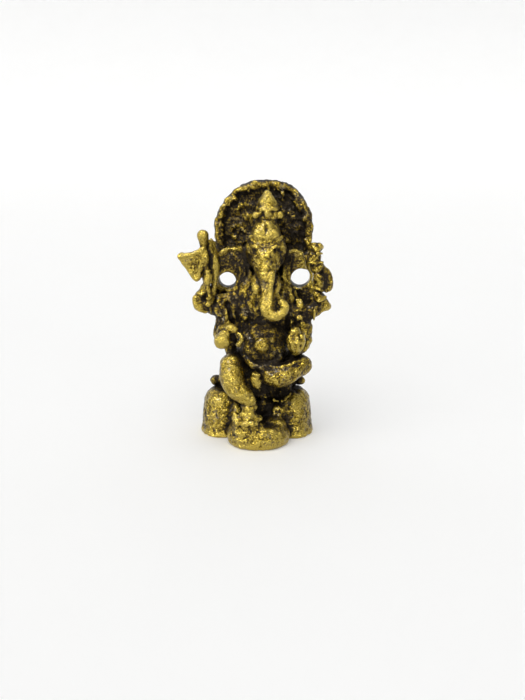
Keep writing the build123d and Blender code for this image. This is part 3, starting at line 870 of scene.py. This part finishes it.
# ---- Noise on the grid ---------------------------------------------------------------------------
def spline_weights(count, spacing):
    """The weights that spread random values, one every spacing voxels, smoothly over count voxels."""
    size = int(count / spacing) + 5
    at = np.arange(count) / spacing + 1
    weights = np.zeros((count, size), np.float32)
    for i in range(count):
        first = int(at[i])
        t = at[i] - first
        b = ((1 - t) ** 3, 3 * t**3 - 6 * t**2 + 4, -3 * t**3 + 3 * t**2 + 3 * t + 1, t**3)
        for j in range(4):
            weights[i, first - 1 + j] = b[j] / 6
    return weights


def noise_field(rng, sizes):
    """Smooth random values with features about sizes millimetres across, spread evenly about zero."""
    weights = [spline_weights(n, size / VOXEL) for n, size in zip(counts, sizes)]
    values = rng.standard_normal([w.shape[1] for w in weights]).astype(np.float32)
    for w in weights:
        values = np.tensordot(values, w, axes=(0, 1))
    return values / values.std()


def blurred(field, radius):
    """The field blurred by about radius, in voxels, by three box blurs along each axis."""
    r = max(1, int(round(radius * 0.95)))
    for axis in range(3):
        for _ in range(3):
            pad = [(0, 0)] * 3
            pad[axis] = (r + 1, r)
            total = np.cumsum(np.pad(field, pad, mode="edge"), axis=axis, dtype=np.float64)
            front = np.take(total, np.arange(2 * r + 1, total.shape[axis]), axis=axis)
            back = np.take(total, np.arange(0, total.shape[axis] - 2 * r - 1), axis=axis)
            field = ((front - back) / (2 * r + 1)).astype(np.float32)
    return field


# ---- The common surface --------------------------------------------------------------------------
names = list(NODES)
centres, halves = {}, {}
for name in names:
    a, b = (np.array(v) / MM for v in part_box(name))
    centres[name], halves[name] = (a + b) / 2, (b - a) / 2

surface = np.full(counts, FAR, np.float32)
nearest = np.full(counts, FAR, np.float32)
second = np.full(counts, FAR, np.float32)
label = np.zeros(counts, np.int16)
fields = {}
for index, name in enumerate(names):
    sculpt, blend = NODES[name][:2]
    shapes = sculpt(centres[name], halves[name])
    lo = np.min([s[0] for s in shapes], axis=0) - REACH
    hi = np.max([s[1] for s in shapes], axis=0) + REACH
    whole, _, _, _ = window(lo, hi)
    origin = np.array([s.start for s in whole])
    own = np.full([s.stop - s.start for s in whole], FAR, np.float32)
    for corner_low, corner_high, distance in shapes:
        cut, x, y, z = window(corner_low - REACH, corner_high + REACH)
        part = tuple(slice(s.start - o, s.stop - o) for s, o in zip(cut, origin))
        own[part] = smooth_min(own[part], distance(x, y, z).astype(np.float32), INNER_BLEND)
    closer = own < nearest[whole]
    second[whole] = np.where(closer, nearest[whole], np.minimum(second[whole], own))
    label[whole] = np.where(closer, index, label[whole])
    nearest[whole] = np.minimum(nearest[whole], own)
    surface[whole] = smooth_min(surface[whole], own, blend)
    fields[name] = (whole, own)


# ---- Cuts and casting grain ----------------------------------------------------------------------
def carve(shapes, soft=0.12):
    """Takes shapes out of the common surface."""
    for corner_low, corner_high, distance in shapes:
        cut, x, y, z = window(corner_low - 0.4, corner_high + 0.4)
        surface[cut] = smooth_max(surface[cut], -distance(x, y, z).astype(np.float32), soft)


def engraved_lines():
    """The cut lines of the modelling: the forehead mark, the eyes, and the furrows under the legs."""
    brow, cheek = centres["forehead"], centres["face"]
    cuts = [chain(brow, [(0, -1.5, 1.45, 0.14), (0.02, -1.75, 1.1, 0.24), (0, -1.9, 0.7, 0.14)])]
    for side in (-1, 1):
        eye = [
            (side * 0.85, -1.95, 1.02, 0.08), (side * 1.2, -1.88, 0.97, 0.12),
            (side * 1.6, -1.6, 1.1, 0.08),
        ]
        cuts.append(chain(cheek, eye))
    for i in range(8):
        x = 0.35 + 0.45 * i
        furrow = [(x, -3.05, 2.6, 0.17), (x + 0.05, -3.3, 1.4, 0.2), (x, -3.5, 0.6, 0.15)]
        cuts.append(chain(centres["plinth"], furrow))
    for i in range(6):
        x = -0.4 + 0.62 * i
        furrow = [(x, -2.0, -0.2, 0.16), (x + 0.06, -2.05, -1.2, 0.2), (x, -2.05, -2.2, 0.16)]
        cuts.append(chain(centres["seat"], furrow))
    return cuts


HIGHEST_BUMP = 0.28
DEEPEST_PIT = 0.3
carve(engraved_lines())
rng = np.random.default_rng(SEED)
FINEST = 2.0 * VOXEL  # the smallest feature that the grid can hold


def grain(size, stretch=1.0):
    """Noise with features of one size. stretch lengthens them up and down."""
    size = max(size, FINEST)
    return noise_field(rng, (size, size, size * stretch))


def per_node(table, otherwise):
    """A value for each place on the grid, taken from the nearest node and softened at the borders."""
    values = np.array([table.get(name, otherwise) for name in names], np.float32)[label]
    return blurred(values, 0.25 / VOXEL)


# The noise is summed in one fixed order, so that each run draws the same values.
roughness = per_node({name: NODES[name][3] for name in names}, 1.0)
creased = 0.8 - np.abs(grain(0.55))
sunk = roughness * (0.03 * grain(1.5) + 0.03 * grain(0.33) + 0.02 * grain(0.2) - 0.045 * creased)
sunk += roughness * 0.13 * np.minimum(np.maximum(grain(0.5) - 1.2, 0), 1.2)
sunk += per_node(STREAKS, 0.0) * (np.abs(grain(0.42, 4.0)) - 0.3)
surface += np.clip(sunk, -HIGHEST_BUMP, DEEPEST_PIT)


def cut_cord_holes():
    """The two round holes through the slab, at the places and sizes that the record's mounts state."""
    for mount in frame["record"]["mounts"]:
        if mount["kind"] == "bore":
            at = np.array(mount["pos_m"]) / MM
            radius = mount["dims"]["r_mm"]
            reach = np.array([radius, 4.0, radius])
            cut, x, y, z = window(at - reach - 0.4, at + reach + 0.4)
            wall = np.sqrt((x - at[0]) ** 2 + (z - at[2]) ** 2) - radius
            surface[cut] = smooth_max(surface[cut], -wall.astype(np.float32), 0.15)


cut_cord_holes()
surface = np.maximum(surface, -axes[2][None, None, :])

# ---- What the surface is like at each place: how far it stands out at three scales ---------------
solid = np.clip(0.5 - surface / (1.5 * VOXEL), 0, 1)
step = 2
trimmed = [n // step * step for n in counts]
coarse_solid = solid[: trimmed[0], : trimmed[1], : trimmed[2]]
split = [length for n in trimmed for length in (n // step, step)]
coarse_solid = coarse_solid.reshape(split).mean(axis=(1, 3, 5))
COARSE = VOXEL * step
coarse_low = low + (step - 1) * VOXEL / 2
RELIEF_WEIGHTS = {0.3: 3.0, 0.75: 1.0, 1.8: 0.25}  # for each scale in millimetres, how much it counts
relief = {size: 0.5 - blurred(coarse_solid, size / COARSE) for size in RELIEF_WEIGHTS}


def sampled(grid, points):
    """A coarse grid's values at points, by linear interpolation."""
    at = (points - coarse_low) / COARSE
    first = np.clip(np.floor(at).astype(int), 0, np.array(grid.shape) - 2)
    t = np.clip(at - first, 0, 1)
    total = np.zeros(len(points))
    for dx in (0, 1):
        for dy in (0, 1):
            for dz in (0, 1):
                weight = np.abs((1 - dx, 1 - dy, 1 - dz) - t).prod(axis=1)
                total += weight * grid[first[:, 0] + dx, first[:, 1] + dy, first[:, 2] + dz]
    return total


# ---- From field to mesh --------------------------------------------------------------------------
def surface_net(field):
    """The vertices, in voxels, and quads of a field's zero surface: a vertex in each cell it crosses."""
    inside = field < 0
    n = np.array(field.shape)
    crossed = np.zeros(n - 1, bool)
    full = np.ones(n - 1, bool)
    for dx in (0, 1):
        for dy in (0, 1):
            for dz in (0, 1):
                corner = inside[dx : n[0] - 1 + dx, dy : n[1] - 1 + dy, dz : n[2] - 1 + dz]
                crossed |= corner
                full &= corner
    crossed &= ~full
    cells = np.argwhere(crossed)
    number = np.full(n - 1, -1, np.int64)
    number[crossed] = np.arange(len(cells))
    total, hits = np.zeros((len(cells), 3)), np.zeros(len(cells))
    for axis in range(3):
        others = [i for i in range(3) if i != axis]
        for u in (0, 1):
            for v in (0, 1):
                start = np.zeros(3, int)
                start[others[0]], start[others[1]] = u, v
                end = start.copy()
                end[axis] = 1
                a = field[tuple((cells + start).T)]
                b = field[tuple((cells + end).T)]
                hit = (a < 0) != (b < 0)
                t = np.where(hit, a / np.where(hit, a - b, 1), 0)
                point = cells + start
                point = point.astype(float)
                point[:, axis] += t
                total += point * hit[:, None]
                hits += hit
    vertices = total / hits[:, None]
    quads = []
    for axis in range(3):
        u, v = [(1, 2), (2, 0), (0, 1)][axis]
        size = n.copy()
        size[axis] -= 1
        first = [slice(0, s) for s in n]
        last = [slice(0, s) for s in n]
        first[axis], last[axis] = slice(0, n[axis] - 1), slice(1, n[axis])
        a, b = inside[tuple(first)], inside[tuple(last)]
        for rising, edges in ((False, a & ~b), (True, ~a & b)):
            at = np.argwhere(edges)
            at = at[(at[:, u] > 0) & (at[:, v] > 0) & (at[:, u] < n[u] - 1) & (at[:, v] < n[v] - 1)]
            corners = []
            for du, dv in ((-1, -1), (0, -1), (0, 0), (-1, 0)):
                cell = at.copy()
                cell[:, u] += du
                cell[:, v] += dv
                corners.append(number[tuple(cell.T)])
            quad = np.stack(corners, axis=1)
            quads.append(quad[:, ::-1] if rising else quad)
    return vertices, np.concatenate(quads)


def main_lump(vertices, quads, least_share=0.05):
    """The mesh without loose crumbs: parts with under least_share of the largest part's vertices go."""
    parent = np.arange(len(vertices))
    a = quads[:, [0, 1, 2, 3]].ravel()
    b = quads[:, [1, 2, 3, 0]].ravel()
    while True:
        lowest = np.minimum(parent[a], parent[b])
        before = parent.copy()
        np.minimum.at(parent, a, lowest)
        np.minimum.at(parent, b, lowest)
        parent = parent[parent]
        if (parent == before).all():
            break
    counted = np.bincount(parent, minlength=len(parent))
    keep = counted[parent] >= least_share * counted.max()
    renumber = np.cumsum(keep) - 1
    return vertices[keep], renumber[quads[keep[quads[:, 0]]]]


OVERLAP = 0.2  # how far a piece runs on past its border, under its neighbour
SINK = 0.8  # how steeply it dips there


def node_mesh(name):
    """The closed piece of the common surface that one node owns."""
    whole, own = fields[name]
    index = names.index(name)
    others = np.where(label[whole] == index, second[whole], nearest[whole])
    beyond = 0.5 * (own - others)
    field = np.maximum(surface[whole] + SINK * np.maximum(beyond, 0), beyond - OVERLAP)
    field = np.pad(field, 1, constant_values=FAR)
    vertices, quads = surface_net(field)
    vertices, quads = main_lump(vertices, quads)
    origin = low + VOXEL * (np.array([s.start for s in whole]) - 1)
    return vertices * VOXEL + origin, quads


def mesh_object(name, vertices, quads, smooth=True):
    mesh = bpy.data.meshes.new(name)
    mesh.vertices.add(len(vertices))
    mesh.vertices.foreach_set("co", np.ascontiguousarray(vertices * MM, np.float32).ravel())
    mesh.loops.add(quads.size)
    mesh.loops.foreach_set("vertex_index", quads.ravel().astype(np.int32))
    mesh.polygons.add(len(quads))
    mesh.polygons.foreach_set("loop_start", (4 * np.arange(len(quads))).astype(np.int32))
    mesh.polygons.foreach_set("use_smooth", np.full(len(quads), smooth))
    mesh.update(calc_edges=True)
    mesh.validate()
    obj = bpy.data.objects.new(name, mesh)
    bpy.context.scene.collection.objects.link(obj)
    return obj


# ---- Materials -----------------------------------------------------------------------------------
class Nodes:
    """A short way to write a material's node tree."""

    def __init__(self, name):
        self.material = bpy.data.materials.new(name)
        self.material.use_nodes = True
        self.tree = self.material.node_tree
        self.shader = self.tree.nodes["Principled BSDF"]

    def add(self, kind, inputs=None, **settings):
        node = self.tree.nodes.new(kind)
        for key, value in settings.items():
            setattr(node, key, value)
        for key, value in (inputs or {}).items():
            if isinstance(value, bpy.types.NodeSocket):
                self.tree.links.new(value, node.inputs[key])
            else:
                node.inputs[key].default_value = value
        return node

    def math(self, operation, a, b=0.0, c=0.0, clamp=False):
        node = self.add("ShaderNodeMath", {0: a, 1: b, 2: c}, operation=operation, use_clamp=clamp)
        return node.outputs[0]

    def noise(self, place, scale, detail=2.0, roughness=0.5):
        inputs = {"Vector": place, "Scale": scale, "Detail": detail, "Roughness": roughness}
        return self.add("ShaderNodeTexNoise", inputs).outputs["Fac"]

    def ramp(self, factor, stops):
        node = self.add("ShaderNodeValToRGB", {"Fac": factor})
        elements = node.color_ramp.elements
        while len(elements) < len(stops):
            elements.new(0.5)
        for element, (position, value) in zip(elements, stops):
            element.position = position
            element.color = (*value, 1) if isinstance(value, tuple) else (value, value, value, 1)
        return node.outputs["Color"]

    def mix(self, factor, a, b):
        node = self.add("ShaderNodeMix", {"Factor": factor}, data_type="RGBA")
        for socket, value in ((node.inputs[6], a), (node.inputs[7], b)):
            if isinstance(value, bpy.types.NodeSocket):
                self.tree.links.new(value, socket)
            else:
                socket.default_value = (*value, 1)
        return node.outputs[2]


BLACK_BROWN = (0.018, 0.0125, 0.0065)
UMBER = (0.060, 0.041, 0.0135)
OLD_GOLD = (0.135, 0.088, 0.009)
GOLD = (0.30, 0.206, 0.020)
BRIGHT_GOLD = (0.48, 0.358, 0.062)
PEWTER = (0.17, 0.16, 0.145)


def antiqued_brass(name, lean):
    """Cast brass under a dark patina that is rubbed off wherever the surface stands out, with painted light
    and shade on top: lighter where the surface faces the front, darker on its sides and where it faces up.
    """
    n = Nodes(name)
    place = n.add("ShaderNodeTexCoord").outputs["Object"]
    wear_and_facing_light = n.add("ShaderNodeAttribute", attribute_name="wear_and_facing_light").outputs["Fac"]
    speck = n.noise(place, 4200.0, 3.0, 0.7)
    cloud = n.noise(place, 1100.0, 3.0, 0.6)
    worn_and_facing_light = n.math("ADD", wear_and_facing_light, lean)
    worn_and_facing_light = n.math("MULTIPLY_ADD", n.math("SUBTRACT", speck, 0.5), 2.7, worn_and_facing_light)
    worn_and_facing_light = n.math("MULTIPLY_ADD", n.math("SUBTRACT", cloud, 0.5), 1.0, worn_and_facing_light)
    worn_and_facing_light = n.math("ADD", worn_and_facing_light, 0.5, clamp=True)
    tones = [(0.26, BLACK_BROWN), (0.44, UMBER), (0.60, OLD_GOLD), (0.80, GOLD), (1.0, BRIGHT_GOLD)]
    colour = n.ramp(worn_and_facing_light, tones)
    patch = n.ramp(n.noise(place, 900.0, 2.0), [(0.58, 0.0), (0.66, 0.8)])
    patch = n.math("MULTIPLY", patch, n.ramp(worn_and_facing_light, [(0.45, 0.0), (0.56, 1.0), (0.75, 0.1)]))
    colour = n.mix(patch, colour, PEWTER)
    n.tree.links.new(colour, n.shader.inputs["Base Color"])
    n.tree.links.new(n.ramp(worn_and_facing_light, [(0.40, 0.8), (0.60, 1.0)]), n.shader.inputs["Metallic"])
    n.tree.links.new(n.ramp(worn_and_facing_light, [(0.42, 0.05), (0.62, 0.3)]), n.shader.inputs["Coat Weight"])
    polish = n.math("MULTIPLY_ADD", speck, 0.4, n.math("MULTIPLY", worn_and_facing_light, 0.6))
    shine = n.ramp(polish, [(0.3, 0.55), (0.75, 0.24)])
    n.tree.links.new(shine, n.shader.inputs["Roughness"])
    n.shader.inputs["Coat Roughness"].default_value = 0.18
    height = n.math("MULTIPLY_ADD", n.noise(place, 7000.0, 3.0, 0.6), 0.5, n.noise(place, 2600.0, 3.0, 0.6))
    bump = n.add("ShaderNodeBump", {"Height": height, "Strength": 1.0, "Distance": 0.00022})
    n.tree.links.new(bump.outputs["Normal"], n.shader.inputs["Normal"])
    return n.material


SLOTS = {s["node"]: s["material_slot"] for s in frame["record"]["subparts"]}
LEANS = {"gilded_relief": 0.02, "patinated_ground": -0.04}
finishes = {slot: antiqued_brass(slot, lean) for slot, lean in LEANS.items()}


def painted_facing_light(mesh):
    """Painted light and shade by the way a surface faces: lighter where it faces the front, a little less
    at the back, darker on the sides and where it faces up.
    """
    normals = np.empty(3 * len(mesh.vertices), np.float32)
    mesh.vertex_normals.foreach_get("vector", normals)
    _, y, z = normals.reshape(-1, 3).T
    return 0.32 * np.maximum(-y, 0.5 * y) - 0.1 * np.maximum(z, 0) - 0.17


for name in names:
    vertices, quads = node_mesh(name)
    piece = mesh_object("cast_" + name, vertices, quads)
    relief_there = sum(RELIEF_WEIGHTS[key] * sampled(grid, vertices) for key, grid in relief.items())
    wear_and_facing_light = NODES[name][2] + relief_there
    # Painted light and shade: the value is raised where the surface faces the front and lowered on the
    # sides and where it faces up.
    wear_and_facing_light += painted_facing_light(piece.data)
    values = piece.data.attributes.new("wear_and_facing_light", "FLOAT", "POINT")
    values.data.foreach_set("value", wear_and_facing_light.astype(np.float32))
    slot = SLOTS[name]
    piece.data.materials.append(finishes[slot])
    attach(piece, "root")
    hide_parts(name)


# ---- Setting: seamless white table, soft light, and the camera -----------------------------------
HEIGHT = cad_high.z - cad_low.z
GLOW = 0.1  # a little light from the paper itself, which keeps it pale in the shade


def sweep_backdrop():
    """A pale floor that curves up into a wall far behind."""
    reach, rise, radius, steps = 60 * HEIGHT, 60 * HEIGHT, 12 * HEIGHT, 16
    profile = [(-reach, 0.0)]
    for i in range(steps + 1):
        a = math.radians(90 * i / steps)
        profile.append((25 * HEIGHT + radius * math.sin(a), radius * (1 - math.cos(a))))
    profile.append((25 * HEIGHT + radius, rise))
    points = [(side * reach, y, z) for y, z in profile for side in (-1, 1)]
    quads = np.array([(2 * i, 2 * i + 1, 2 * i + 3, 2 * i + 2) for i in range(len(profile) - 1)])
    floor = mesh_object("studio_floor", np.array(points) / MM, quads)
    n = Nodes("studio_paper")
    place = n.add("ShaderNodeTexCoord").outputs["Object"]
    tone = n.ramp(n.noise(place, 40.0, 2.0), [(0.3, (0.90, 0.90, 0.895)), (0.7, (0.91, 0.91, 0.905))])
    n.tree.links.new(tone, n.shader.inputs["Base Color"])
    n.tree.links.new(tone, n.shader.inputs["Emission Color"])
    n.shader.inputs["Emission Strength"].default_value = GLOW
    n.shader.inputs["Roughness"].default_value = 0.7
    n.shader.inputs["Specular IOR Level"].default_value = 0.2
    floor.data.materials.append(n.material)


def sky_light(name, azimuth, elevation, spread, power, only_shine=False):
    """A light from far away, spread degrees across. Azimuth counts from the viewer's side, to the right.
    With only_shine it shows in the metal but leaves the paper as it is."""
    light = bpy.data.lights.new(name, "SUN")
    light.energy = power
    light.angle = math.radians(spread)
    obj = bpy.data.objects.new(name, light)
    bpy.context.scene.collection.objects.link(obj)
    obj.rotation_euler = (math.radians(90 - elevation), 0, math.radians(azimuth))
    obj.visible_diffuse = not only_shine


def add_camera():
    """The view from close by and a little above, as a phone held over a table has it."""
    distance, elevation = 3.0 * HEIGHT, math.radians(16)
    aim = (0.02 * HEIGHT, 0, 0.343 * HEIGHT)
    data = bpy.data.cameras.new("camera")
    data.sensor_fit = "VERTICAL"
    data.sensor_height = 24.0
    data.lens = 25.92
    data.clip_start, data.clip_end = 0.002, 10.0
    camera = bpy.data.objects.new("camera", data)
    bpy.context.scene.collection.objects.link(camera)
    back = (0, -math.cos(elevation) * distance, math.sin(elevation) * distance)
    camera.location = [a + b for a, b in zip(aim, back)]
    camera.rotation_euler = (math.pi / 2 - elevation, 0, 0)
    bpy.context.scene.camera = camera


def add_world(strength):
    world = bpy.data.worlds.new("studio")
    world.use_nodes = True
    ground = world.node_tree.nodes["Background"]
    ground.inputs["Color"].default_value = (1.0, 1.0, 1.0, 1)
    ground.inputs["Strength"].default_value = strength
    bpy.context.scene.world = world


sweep_backdrop()
add_world(0.38)
sky_light("window", -30, 55, 70, 1.15)
sky_light("ceiling", 40, 80, 60, 0.6)
sky_light("glint", -35, 48, 11, 3.0, only_shine=True)
add_camera()
bpy.context.scene.view_settings.view_transform = "Standard"
